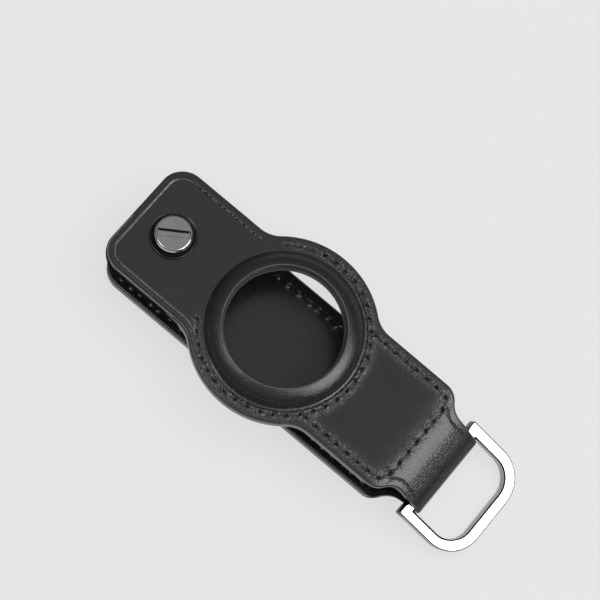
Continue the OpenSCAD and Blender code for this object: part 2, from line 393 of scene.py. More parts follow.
def inside(p, poly, chunk=4000):
    out = np.zeros(len(p), bool)
    x0, y0 = poly[:, 0], poly[:, 1]
    x1, y1 = np.roll(x0, -1), np.roll(y0, -1)
    for i in range(0, len(p), chunk):
        q = p[i:i + chunk]
        c = (y0[None] > q[:, 1:2]) != (y1[None] > q[:, 1:2])
        with np.errstate(divide="ignore", invalid="ignore"):
            xx = (x1 - x0)[None] * (q[:, 1:2] - y0[None]) / (y1 - y0)[None] + x0[None]
        out[i:i + chunk] = (np.sum(c & (q[:, 0:1] < xx), axis=1) % 2).astype(bool)
    return out


def far_from(p, loop, gap, chunk=3000):
    out = np.ones(len(p), bool)
    for i in range(0, len(p), chunk):
        q = p[i:i + chunk]
        d = np.min((q[:, None, 0] - loop[None, :, 0]) ** 2 + (q[:, None, 1] - loop[None, :, 1]) ** 2, axis=1)
        out[i:i + chunk] = d > gap ** 2
    return out


def fill(loops, points):
    """Triangles between closed loops (the first is the outer one, the others are holes), through the given points."""
    allp = np.vstack(loops + [points]) if len(points) else np.vstack(loops)
    edges, k = [], 0
    for lp in loops:
        n = len(lp)
        edges += [(k + i, k + (i + 1) % n) for i in range(n)]
        k += n
    out = geometry.delaunay_2d_cdt([Vector((float(a), float(b))) for a, b in allp], edges, [], 0, 1e-6, True)
    vo, fo, orig = out[0], out[2], out[3]
    back = [o[0] if o else -1 for o in orig]
    tri = np.array([[back[i] for i in f] for f in fo if len(f) == 3])
    tri = tri[(tri >= 0).all(1)]
    cen = allp[tri].mean(1)
    ok = inside(cen, loops[0])
    for lp in loops[1:]:
        c, r = lp.mean(0), np.hypot(*(lp - lp.mean(0)).T).min()
        ok &= np.hypot(*(cen - c).T) > r * 0.9995 - 1e-4
    tri = tri[ok]
    a, b, c = allp[tri[:, 0]], allp[tri[:, 1]], allp[tri[:, 2]]
    area = (b[:, 0] - a[:, 0]) * (c[:, 1] - a[:, 1]) - (b[:, 1] - a[:, 1]) * (c[:, 0] - a[:, 0])
    tri[area < 0] = tri[area < 0][:, ::-1]
    tri = tri[np.abs(area) > 1e-10]
    return allp, tri


def grid(s0, s1, ds, dy, half=HALF):
    a, b = np.meshgrid(np.arange(s0, s1, ds), np.arange(-half, half + dy, dy))
    a = a + np.where((np.round(b / dy).astype(int) % 2) == 0, 0, ds / 2)
    return np.stack([a.ravel(), b.ravel()], -1)


# ---------------------------------------------------------------- materials
def material(name, **kw):
    m = bpy.data.materials.new(name)
    m.use_nodes = True
    nt = m.node_tree
    b = nt.nodes["Principled BSDF"]
    for k, v in kw.items():
        b.inputs[k.replace("_", " ")].default_value = v
    return m, nt, b


def node(nt, kind, **props):
    n = nt.nodes.new(kind)
    for k, v in props.items():
        if k in n.inputs.keys():
            n.inputs[k].default_value = v
        else:
            setattr(n, k, v)
    return n


def setin(n, **vals):
    for k, v in vals.items():
        n.inputs[k].default_value = v
    return n


def coords(nt, scale=(1, 1, 1)):
    tc = nt.nodes.new("ShaderNodeTexCoord")
    mp = nt.nodes.new("ShaderNodeMapping")
    mp.inputs["Scale"].default_value = scale
    nt.links.new(tc.outputs["Object"], mp.inputs["Vector"])
    return mp.outputs["Vector"]


def noise(nt, vec, scale, detail=2.0, rough=0.5, distortion=0.0):
    n = nt.nodes.new("ShaderNodeTexNoise")
    nt.links.new(vec, n.inputs["Vector"])
    setin(n, Scale=scale, Detail=detail, Roughness=rough, Distortion=distortion)
    return n.outputs["Fac"]


def voronoi(nt, vec, scale, feature="F1", smoothness=0.6):
    n = nt.nodes.new("ShaderNodeTexVoronoi")
    n.feature = feature
    nt.links.new(vec, n.inputs["Vector"])
    n.inputs["Scale"].default_value = scale
    if "Smoothness" in n.inputs.keys() and feature == "SMOOTH_F1":
        n.inputs["Smoothness"].default_value = smoothness
    return n.outputs["Distance"]


def ramp(nt, fac, stops):
    n = nt.nodes.new("ShaderNodeValToRGB")
    nt.links.new(fac, n.inputs["Fac"])
    e = n.color_ramp.elements
    while len(e) < len(stops):
        e.new(0.5)
    for el, (p, c) in zip(e, stops):
        el.position = p
        el.color = (c, c, c, 1) if np.isscalar(c) else (*c, 1)
    return n.outputs["Color"]


def remap(nt, val, a, b, c, d):
    n = nt.nodes.new("ShaderNodeMapRange")
    nt.links.new(val, n.inputs["Value"])
    n.inputs["From Min"].default_value, n.inputs["From Max"].default_value = a, b
    n.inputs["To Min"].default_value, n.inputs["To Max"].default_value = c, d
    return n.outputs["Result"]


def math_node(nt, op, a, b=None):
    n = nt.nodes.new("ShaderNodeMath")
    n.operation = op
    for i, v in enumerate((a, b)):
        if v is None:
            continue
        if isinstance(v, (int, float)):
            n.inputs[i].default_value = v
        else:
            nt.links.new(v, n.inputs[i])
    return n.outputs[0]


def bump(nt, height, strength, distance, normal=None):
    n = nt.nodes.new("ShaderNodeBump")
    n.inputs["Strength"].default_value = strength
    n.inputs["Distance"].default_value = distance
    nt.links.new(height, n.inputs["Height"])
    if normal is not None:
        nt.links.new(normal, n.inputs["Normal"])
    return n.outputs["Normal"]


def attribute(nt, name):
    n = nt.nodes.new("ShaderNodeAttribute")
    n.attribute_name = name
    return n.outputs["Fac"]


def leather(name, dark, light, r0, r1, grain=1.0, crumpled_with_painted_specks=False):
    m, nt, b = material(name, Specular_IOR_Level=0.5)
    vec = coords(nt)
    cells = voronoi(nt, vec, 2600, "SMOOTH_F1", 0.8)
    fine = noise(nt, vec, 5200, 3, 0.6)
    mid = noise(nt, vec, 900, 4, 0.55, 0.3)
    big = noise(nt, vec, 90, 3, 0.5)
    g = math_node(nt, "ADD", math_node(nt, "MULTIPLY", cells, 0.45), math_node(nt, "MULTIPLY", fine, 0.25))
    g = math_node(nt, "ADD", g, math_node(nt, "MULTIPLY", mid, 0.5))
    n1 = bump(nt, g, 0.30 * grain, 0.00006)
    if crumpled_with_painted_specks:
        # crumpled where it is bent or sewn
        bend = attribute(nt, "bend")
        folds = noise(nt, vec, 2000, 2, 0.5, 0.5)
        n1 = bump(nt, math_node(nt, "MULTIPLY", folds, bend), 0.9, 0.00022, n1)
        specks = noise(nt, vec, 3900, 3, 0.6, 0.3)
        n1 = bump(nt, math_node(nt, "MULTIPLY", specks, math_node(nt, "MINIMUM", bend, 0.32)), 1.0, 0.00013, n1)
    n2 = bump(nt, big, 0.10, 0.0006, n1)
    nt.links.new(n2, b.inputs["Normal"])
    tone = math_node(nt, "ADD", math_node(nt, "MULTIPLY", mid, 0.5), math_node(nt, "MULTIPLY", big, 0.5))
    colour, rough = ramp(nt, tone, [(0.3, dark), (0.7, light)]), remap(nt, mid, 0.25, 0.75, r0, r1)
    if crumpled_with_painted_specks:
        # beside the seams, light and dark specks painted in for the glints and shade of crumpled leather, and duller
        # there; painted shade in the needle holes
        seam, pit = attribute(nt, "seam"), attribute(nt, "pit")
        spots = noise(nt, vec, 3000, 2, 0.5, 0.5)
        mix = node(nt, "ShaderNodeMix", data_type="RGBA")
        nt.links.new(seam, mix.inputs[0])
        nt.links.new(colour, mix.inputs[6])
        nt.links.new(ramp(nt, spots, [(0.42, 0.002), (0.51, 0.006), (0.58, 0.075), (0.68, 0.15)]), mix.inputs[7])
        # painted shade: the needle holes are coloured near black
        deep = node(nt, "ShaderNodeMix", data_type="RGBA")
        nt.links.new(pit, deep.inputs[0])
        nt.links.new(mix.outputs[2], deep.inputs[6])
        nt.links.new(ramp(nt, spots, [(0.3, 0.001), (0.7, 0.002)]), deep.inputs[7])
        colour = deep.outputs[2]
        dull = math_node(nt, "MULTIPLY", seam, remap(nt, spots, 0.40, 0.51, 0.50, 0.0))
        rough = math_node(nt, "ADD", math_node(nt, "ADD", rough, dull), math_node(nt, "MULTIPLY", pit, 0.5))
    nt.links.new(colour, b.inputs["Base Color"])
    nt.links.new(rough, b.inputs["Roughness"])
    return m


outer_mat = leather("outer_leather", 0.0080, 0.0120, 0.18, 0.25, 0.35, True)
inner_mat = leather("inner_leather", 0.0050, 0.0080, 0.22, 0.29, 0.45)


def edge_paint(name="edge_paint", lo=0.050, hi=0.068):
    m, nt, b = material(name, Specular_IOR_Level=0.55)
    vec = coords(nt)
    n = noise(nt, vec, 700, 4, 0.55)
    big = noise(nt, vec, 120, 2, 0.5)
    nt.links.new(ramp(nt, big, [(0.3, lo), (0.7, hi)]), b.inputs["Base Color"])
    nt.links.new(remap(nt, n, 0.25, 0.75, 0.18, 0.28), b.inputs["Roughness"])
    nt.links.new(bump(nt, n, 0.25, 0.00006), b.inputs["Normal"])
    return m


paint_mat = edge_paint()
# a lighter copy of the edge paint, a painted highlight: on the tab's -Y edge and at the window's rim
edge_highlight_mat = edge_paint("edge_painted_highlight", 0.085, 0.125)
# a much lighter copy of the edge paint, a painted highlight for the tab's pressed line
crease_highlight_mat = edge_paint("crease_painted_highlight", 0.17, 0.26)


def raw_edge():
    m, nt, b = material("raw_edge", Specular_IOR_Level=0.0)
    vec = coords(nt)
    n = noise(nt, vec, 2600, 4, 0.65)
    big = noise(nt, vec, 500, 2, 0.5)
    nt.links.new(ramp(nt, big, [(0.3, 0.008), (0.7, 0.014)]), b.inputs["Base Color"])
    nt.links.new(remap(nt, n, 0.25, 0.75, 0.6, 0.8), b.inputs["Roughness"])
    nt.links.new(bump(nt, n, 0.6, 0.0001), b.inputs["Normal"])
    return m


raw_mat = raw_edge()


def slot_shade():
    m, nt, b = material("slot_shade", Specular_IOR_Level=0.06)
    vec = coords(nt)
    n = noise(nt, vec, 1800, 3, 0.6)
    nt.links.new(ramp(nt, n, [(0.3, 0.003), (0.7, 0.006)]), b.inputs["Base Color"])
    nt.links.new(remap(nt, n, 0.25, 0.75, 0.65, 0.8), b.inputs["Roughness"])
    nt.links.new(bump(nt, n, 0.3, 0.00004), b.inputs["Normal"])
    return m


shade_mat = slot_shade()


def thread_mat():
    m, nt, b = material("waxed_thread", Specular_IOR_Level=0.4)
    vec = coords(nt)
    n = noise(nt, vec, 6000, 3, 0.6)
    big = noise(nt, vec, 900, 2, 0.5)
    nt.links.new(ramp(nt, big, [(0.3, 0.007), (0.75, 0.016)]), b.inputs["Base Color"])
    nt.links.new(remap(nt, n, 0.2, 0.8, 0.42, 0.62), b.inputs["Roughness"])
    nt.links.new(bump(nt, n, 0.5, 0.00005), b.inputs["Normal"])
    b.inputs["Sheen Weight"].default_value = 0.15
    return m


thread = thread_mat()


def metal(name, lo, hi, r0, r1, scr=0.05):
    m, nt, b = material(name, Metallic=1.0)
    vec = coords(nt)
    n = noise(nt, vec, 260, 4, 0.6)
    fine = noise(nt, coords(nt, (1.0, 1.0, 0.2)), 3800, 3, 0.7)
    nt.links.new(ramp(nt, n, [(0.3, lo), (0.7, hi)]), b.inputs["Base Color"])
    nt.links.new(remap(nt, fine, 0.3, 0.7, r0, r1), b.inputs["Roughness"])
    nt.links.new(bump(nt, fine, scr, 0.00001), b.inputs["Normal"])
    return m


nickel = metal("polished_nickel", (0.80, 0.80, 0.81), (0.86, 0.86, 0.87), 0.05, 0.10)
# a lighter copy of the dark nickel: painted highlight on the screw head's bevel
nickel_painted_highlight = metal("nickel_painted_highlight", (0.52, 0.52, 0.53), (0.62, 0.62, 0.63), 0.10, 0.16)
# darker copies of the nickel: painted shade for the D-ring's sides and bevels
side_nickel_painted_shade = metal("side_nickel_painted_shade", (0.30, 0.30, 0.31), (0.38, 0.38, 0.39), 0.10, 0.18)
edge_nickel_painted_shade = metal("edge_nickel_painted_shade", (0.05, 0.05, 0.052), (0.08, 0.08, 0.082), 0.12, 0.22)
dark_nickel = metal("dark_nickel", (0.27, 0.27, 0.28), (0.34, 0.34, 0.35), 0.12, 0.20, 0.08)


# near-black washer: painted shade for the shadowed groove round the screw's head
def make_washer_shade():
    m, nt, b = material("washer_painted_shade", Specular_IOR_Level=0.12)
    n = noise(nt, coords(nt), 1800, 4, 0.6)
    nt.links.new(ramp(nt, n, [(0.3, 0.0015), (0.7, 0.003)]), b.inputs["Base Color"])
    nt.links.new(remap(nt, n, 0.3, 0.7, 0.7, 0.85), b.inputs["Roughness"])
    nt.links.new(bump(nt, n, 0.2, 0.00005), b.inputs["Normal"])
    return m


washer_shade_mat = make_washer_shade()


def foam():
    m, nt, b = material("padding", Specular_IOR_Level=0.3)
    n = voronoi(nt, coords(nt), 3000)
    nt.links.new(ramp(nt, n, [(0.1, 0.03), (0.8, 0.06)]), b.inputs["Base Color"])
    nt.links.new(remap(nt, n, 0.1, 0.8, 0.7, 0.9), b.inputs["Roughness"])
    nt.links.new(bump(nt, n, 0.4, 0.0001), b.inputs["Normal"])
    return m


foam_mat = foam()

# ---------------------------------------------------------------- the outer leather, one strap from free end to free end
STEP = 0.215
half = resample(laid(), STEP)
OUT = closed(half)
IN = inward(OUT, 2)
N = len(OUT)
on_front = OUT[:, 0] < S_TURN
# how near a point of the outline is to the single layer round the bar
single = smooth(s_front(43.7), s_front(45.1), OUT[:, 0]) * (1 - smooth(s_back(44.5), s_back(42.9), OUT[:, 0]))

# places on the lobe, where the ring's foot comes close to the edge
xo = np.interp(OUT[:, 0], DENSE, PX)
rr = np.hypot(xo, OUT[:, 1])
lobe_w = np.where(on_front, 1 - smooth(LOBE + 0.02, LOBE + 1.6, rr), 0.0)
lobe_w = np.where(on_front & (np.abs(xo) < LFX + 2), lobe_w, 0.0)

# the pressed crease of the plain tab
d_end_p = (xo < -16.7) & (OUT[:, 1] >= 0)
crease_w = np.where(on_front, np.where(OUT[:, 1] >= 0, 1 - smooth(-18.2, -16.2, xo), 1 - smooth(-15.6, -13.9, xo)), 0.0)

raw_zone = on_front & (xo < -19.5)
# painted highlight on the top rounding of the tab's edge, on the -Y side only
edge_highlight_zone = raw_zone & (OUT[:, 1] < -2)
# a painted highlight in the bottom of that line: unbroken, but dotted along one side
long_side = (OUT[:, 1] > 0) & (xo > -37)
crease_highlight_on = (crease_w > 0.35) & np.where(long_side, wave(OUT, 0.9, 61) > 0.05, wave(OUT, 2.6, 62) > -1.1)

RE = 0.55
rnd = [(RE * (1 - math.cos(t)), RE * (1 - math.sin(t))) for t in np.radians([0, 12, 26, 40, 54, 66, 78, 90])]
flat_u = [0.70, 0.88, 1.05, 1.20, 1.33, 1.44, 1.53, 1.61, 1.68, 1.74, 1.80, 1.86, 1.92, 1.98, 2.05, 2.12]
U_LAST = flat_u[-1]
CREASE_U = 1.80
more_u = [2.20, 2.30, 2.44, 2.62, 2.85]


def dome(d, total):
    """How far the painted edge bulges at depth d."""
    x = (d - total / 2) / (total / 2)
    return 0.10 * (1 - x * x)


strap = Mesh()
dev = []          # laid-flat coordinates of every vertex, for the attributes


def put(p, h):
    dev.append(np.column_stack([np.asarray(p, float).reshape(-1, 2), np.broadcast_to(h, (len(p),))]))
    return strap.add(place(p[:, 0], p[:, 1], h))


levels = []
# the wall, from its lower edge up
low_r = 0.32 * single
for d, k in ((HIDE, 0), (HIDE - 0.10, 0.45), (HIDE - 0.26, 0.85), (0.80, 1), (0.68, 1)):
    d = d if np.isscalar(d) else d
    u = low_r * (1 - math.sin(math.radians(90 * k))) if k < 1 else 0 * low_r
    bul = (1 - single) * dome(d, LEAF) + single * dome(d, HIDE) * 0.6
    p = OUT + IN * (u - bul)[:, None]
    levels.append(put(p, -d + 0 * single))
for i, (u, d) in enumerate(rnd):
    bul = ((1 - single) * dome(d, LEAF) + single * dome(d, HIDE) * 0.6) * (1 - u / RE)
    p = OUT + IN * (u - bul)[:, None]
    levels.append(put(p, -d + relief(p, False) * (i / 7)))
n_edge = len(levels)
for u in flat_u:
    p = OUT + IN * u
    h = relief(p)
    groove = crease_w * (-(0.17 + 0.05 * wave(p, 2.2, 51)) * math.exp(-((u - CREASE_U) / 0.13) ** 2) + 0.05 * math.exp(-((u - CREASE_U + 0.38) / 0.2) ** 2)
                         + 0.035 * math.exp(-((u - CREASE_U - 0.38) / 0.2) ** 2))
    levels.append(put(p, h + groove))
for j, u in enumerate(more_u):
    uu = U_LAST + (u - U_LAST) * (1 - lobe_w) + lobe_w * 0.006 * (j + 1)
    p = OUT + IN * uu[:, None]
    groove = crease_w * (0.035 * math.exp(-((u - CREASE_U - 0.38) / 0.2) ** 2))
    levels.append(put(p, relief(p) + groove))
edge_levels = 9
for i, (a, b) in enumerate(zip(levels[:-1], levels[1:])):
    if i < 8:
        # the paint runs out along a slant
        slots = np.where(on_front & (xo + 0.35 * wave(OUT, 1.1, 71) < -18.0 - 0.5 * i), 4, 1)
    elif i < 11:
        slots = np.where(edge_highlight_zone, 3, 1 if i < edge_levels else 0)
    else:
        slots = np.where(crease_highlight_on, 5, 0) if n_edge + 9 <= i <= n_edge + 11 else 0
    strap.strip(a, b, slots, flip=True)
inner_loop = OUT + IN * (U_LAST + (more_u[-1] - U_LAST) * (1 - lobe_w) + lobe_w * 0.006 * len(more_u))[:, None]

# holes in the flat field: ring, screw, and the post's flange on the back
S_RING, S_SCREW, S_FLANGE = float(s_front(0.0)), float(s_front(SCREW_X)), float(s_back(SCREW_X))
NR = 420
ringa = np.linspace(0, 2 * math.pi, NR, endpoint=False)
R0 = 18.23
ring_xy = np.stack([R0 * np.cos(ringa), R0 * np.sin(ringa)], -1)
ring_loop = np.stack([s_front(ring_xy[:, 0]), ring_xy[:, 1]], -1)
NS = 96
sca = np.linspace(0, 2 * math.pi, NS, endpoint=False)
scr_loop = np.stack([S_SCREW + 5.6 * np.cos(sca), 5.6 * np.sin(sca)], -1)
fl_loop = np.stack([S_FLANGE + 6.0 * np.cos(sca), 6.0 * np.sin(sca)], -1)

pts = [grid(2, S_TURN - 12, 0.8, 0.75), grid(S_TURN - 12, S_TURN + 12, 0.34, 0.62), grid(S_TURN + 12, S_ALL - 2, 0.9, 0.8)]
# fine points along the seam where it crosses the strap beside the ring, and along the end seam
aa = np.radians(np.arange(-50, 50.01, 0.62))
for r in np.arange(18.36, 19.5, 0.12):
    pts.insert(0, np.stack([s_front(r * np.cos(aa)), r * np.sin(aa)], -1))
aa = np.radians(np.concatenate([np.arange(128, 152, 0.62), np.arange(-152, -128, 0.62)]))
for r in np.arange(18.36, 19.5, 0.12):
    pts.insert(0, np.stack([s_front(r * np.cos(aa)), r * np.sin(aa)], -1))
aa = np.radians(np.arange(-180, 180, 0.86))
for i, r in enumerate((18.33, 18.44, 18.58, 18.76, 19.0, 19.3)):
    pts.insert(0, np.stack([s_front(r * np.cos(aa + 0.0075 * (i % 2))), r * np.sin(aa + 0.0075 * (i % 2))], -1))
for dx in np.arange(-0.78, 0.79, 0.13):
    yy = np.arange(-10.3, 10.31, 0.2)
    pts.insert(0, np.stack([np.full(len(yy), s_front(37.1) + dx), yy], -1))
for line in NECK_LINE:
    q = resample(line, 0.3)
    t = np.gradient(q, axis=0)
    t /= np.hypot(*t.T)[:, None]
    for off in (-0.55, -0.36, -0.22, -0.11, 0, 0.11, 0.22, 0.36, 0.55):
        pts.insert(0, q + np.stack([-t[:, 1], t[:, 0]], -1) * off)
fine = np.vstack(pts[:-3])
coarse = np.vstack(pts[-3:])
# a coarse point gives way to a fine one
keepc = far_from(coarse, fine, 0.42)
field = np.vstack([fine, coarse[keepc]])
ok = inside(field, inner_loop) & far_from(field, inner_loop, 0.09)
for c, r in (((S_SCREW, 0), 5.6), ((S_FLANGE, 0), 6.0)):
    ok &= np.hypot(field[:, 0] - c[0], field[:, 1] - c[1]) > r + 0.25
fx = np.interp(field[:, 0], DENSE, PX)
ok &= ~((field[:, 0] < S_TURN) & (np.hypot(fx, field[:, 1]) < R0 + 0.10))
field = field[ok]
# drop points that almost coincide
key = np.round(field / 0.085).astype(int)
_, first = np.unique(key, axis=0, return_index=True)
field = field[np.sort(first)]
flatp, tri = fill([inner_loop, ring_loop, scr_loop, fl_loop], field)
top_extra = put(flatp[N:], relief(flatp[N:]))
index = np.concatenate([levels[-1], top_extra])
strap.tris(index[tri], 0)
ring_i = top_extra[:NR]
scr_i = top_extra[NR:NR + NS]
fl_i = top_extra[NR + NS:NR + 2 * NS]

# the moulded ring, from its foot up over the crest and down inside the window
section = [(18.12, 14.08), (18.00, 13.96), (17.86, 13.88), (17.70, 13.87), (17.52, 13.92), (17.38, 14.00), (17.28, 14.08), (17.21, 14.16),
           (17.15, 14.25), (17.09, 14.34), (17.02, 14.43), (16.92, 14.53), (16.78, 14.665), (16.60, 14.838), (16.40, 15.023), (16.20, 15.200),
           (16.00, 15.368), (15.78, 15.540), (15.50, 15.736), (15.20, 15.916), (14.90, 16.076), (14.60, 16.216), (14.30, 16.340), (14.02, 16.442),
           (13.84, 16.500), (13.70, 16.53), (13.60, 16.52), (13.54, 16.46), (13.50, 16.36), (13.48, 16.2),
           (13.46, 15.9), (13.42, 15.3), (13.36, 14.9), (13.24, 14.6), (13.08, 14.35), (12.98, 14.1), (12.95, 13.9), (13.00, 13.74),
           (13.14, 13.64), (13.35, 13.62), (14.5, 13.62), (16.0, 13.62), (16.13, 13.58), (16.15, 13.45), (16.15, 13.25), (16.15, 13.1)]
prev = ring_i
seat_i = None
for k, (r, z) in enumerate(section):
    fall = smooth(15.8, R0, r)
    x, y = r * np.cos(ringa), r * np.sin(ringa)
    base = (np.interp(s_front(x), DENSE, PZ) - FRONT_Z) * fall
    wob = 0.02 * np.sin(3 * ringa + 1.0) + 0.012 * np.sin(7 * ringa + 2.2)
    zz = z + base + (wob * smooth(13.7, 15, r) * (1 - smooth(17, 18, r)) if k < 24 else 0)
    foot = math.exp(-((r - 18.1) / 0.35) ** 2) if k < 6 else 0
    hh = relief(np.stack([s_front(x), y], -1)) if k < 5 else np.zeros(NR)
    zz = zz + hh * (1 - k / 5 if k < 5 else 0)
    # the pressed line at the foot fades out on the side of the screw
    if z < 14.20 and k < 9:
        press = 0.5 - 0.5 * np.cos(ringa - math.radians(175))
        zz = zz + (14.185 - z) * (1 - smooth(0.15, 0.75, press))
    dev.append(np.column_stack([s_front(x), y, zz - FRONT_Z]))
    cur = strap.add(np.column_stack([x, y, zz]))
    # the turned-in edge of the window gets a painted highlight: lighter strips at its rim and its lower lip
    strap.strip(prev, cur, 3 if 13.50 <= r <= 13.65 and z > 16.3 or r < 13.01 and 13.7 < z < 14.2 else 1 if r < 13.49 and 14.2 < z < 16.3 else 0, flip=False)
    prev = cur
seat_i = prev

# round the screw's hole, and down through it
prev = scr_i
for r, h in ((5.45, 0), (5.34, 0), (5.24, 0), (5.14, 0), (5.05, 0), (4.96, 0), (4.86, 0), (4.76, 0), (4.6, 0), (4.2, 0), (3.4, 0), (2.6, 0), (2.3, -0.02), (2.17, -0.15), (2.15, -0.4), (2.15, -HIDE)):
    p = np.stack([S_SCREW + r * np.cos(sca), r * np.sin(sca)], -1)
    cur = put(p, (relief(p) if h == 0 else relief(p) * 0.5) + h if h > -HIDE else np.full(NS, -HIDE))
    strap.strip(prev, cur, 0)
    prev = cur
scr_in = prev
# round the post's flange, which is let into the back
prev = fl_i
for r, h in ((5.6, 0), (5.35, -0.02), (5.2, -0.06), (5.12, -0.15), (5.10, -0.5), (5.10, -0.95), (4.0, -0.95), (2.86, -0.95), (2.85, -HIDE)):
    p = np.stack([S_FLANGE + r * np.cos(sca), r * np.sin(sca)], -1)
    cur = put(p, np.full(NS, h) + (relief(p) if h > -0.1 else 0))
    strap.strip(prev, cur, 0)
    prev = cur
fl_in = prev

# the inner face, against the linings and round the bar
under_u = [0.15, 0.45]
lv = levels[0]
for u in (0.35, 1.0, U_LAST):
    p = OUT + IN * u
    cur = put(p, np.full(N, -HIDE))
    strap.strip(cur, lv, 2, flip=True)
    lv = cur
cur = put(inner_loop, np.full(N, -HIDE))
strap.strip(cur, lv, 2, flip=True)
sparse = flatp[N + NR + 2 * NS:]
under_extra = put(flatp[N:], np.full(len(flatp) - N, -HIDE))
index = np.concatenate([cur, under_extra])
strap.tris(index[tri], 2, flip=True)
u_ring, u_scr, u_fl = under_extra[:NR], under_extra[NR:NR + NS], under_extra[NR + NS:NR + 2 * NS]
strap.strip(u_ring, seat_i, 2, flip=True)
strap.strip(u_scr, scr_in, 2, flip=True)
strap.strip(u_fl, fl_in, 2, flip=True)

dv = np.vstack(dev)
bend = (0.3 * smooth(s_front(37.4), s_front(38.4), dv[:, 0]) + 0.7 * smooth(s_front(40.4), s_front(42.4), dv[:, 0])) * (1 - smooth(s_front(46.9), s_back(46.0), dv[:, 0]))
near = dv[:, 2] > -0.9
bend *= 1 - 0.80 * smooth(s_front(43.9), s_front(45.3), dv[:, 0])
reach = near_rows(dv[near, :2], ROWS_FRONT, 2.6)
bend[near] = np.maximum(bend[near], 1.0 * np.exp(-(reach / 0.95) ** 2))
# seam: where painted glints and painted shade specks go beside the seams; pit: painted shade in the needle holes
seam, pit = np.zeros(len(dv)), np.zeros(len(dv))
on_ring = np.hypot(dv[near, 0] - float(s_front(0.0)), dv[near, 1]) < 21.5
seam[near] = np.exp(-(reach / 1.4) ** 2) * np.where(on_ring, 1.0, 0.6)
# calmer towards the ends of the round seam
turn_at = np.degrees(np.arctan2(dv[near, 1], dv[near, 0] - float(s_front(0.0))))
seam[near] *= np.where(on_ring, (1 - 0.85 * smooth(84, 112, turn_at)) * (1 - 0.75 * smooth(112, 138, -turn_at)), 1.0)
rng_pit = np.random.default_rng(57)
for c in HOLES:
    wide = rng_pit.uniform(0.20, 0.36)
    pit[near] = np.maximum(pit[near], np.exp(-((dv[near, 0] - c[0]) ** 2 + (dv[near, 1] - c[1]) ** 2) / wide ** 2))
bend = np.maximum(bend, 0.30 * (dv[:, 2] > 0.9))
outer = strap.build("outer_strap", [outer_mat, paint_mat, inner_mat, edge_highlight_mat, raw_mat, crease_highlight_mat], 38, attrs={"bend": bend, "seam": seam, "pit": pit})


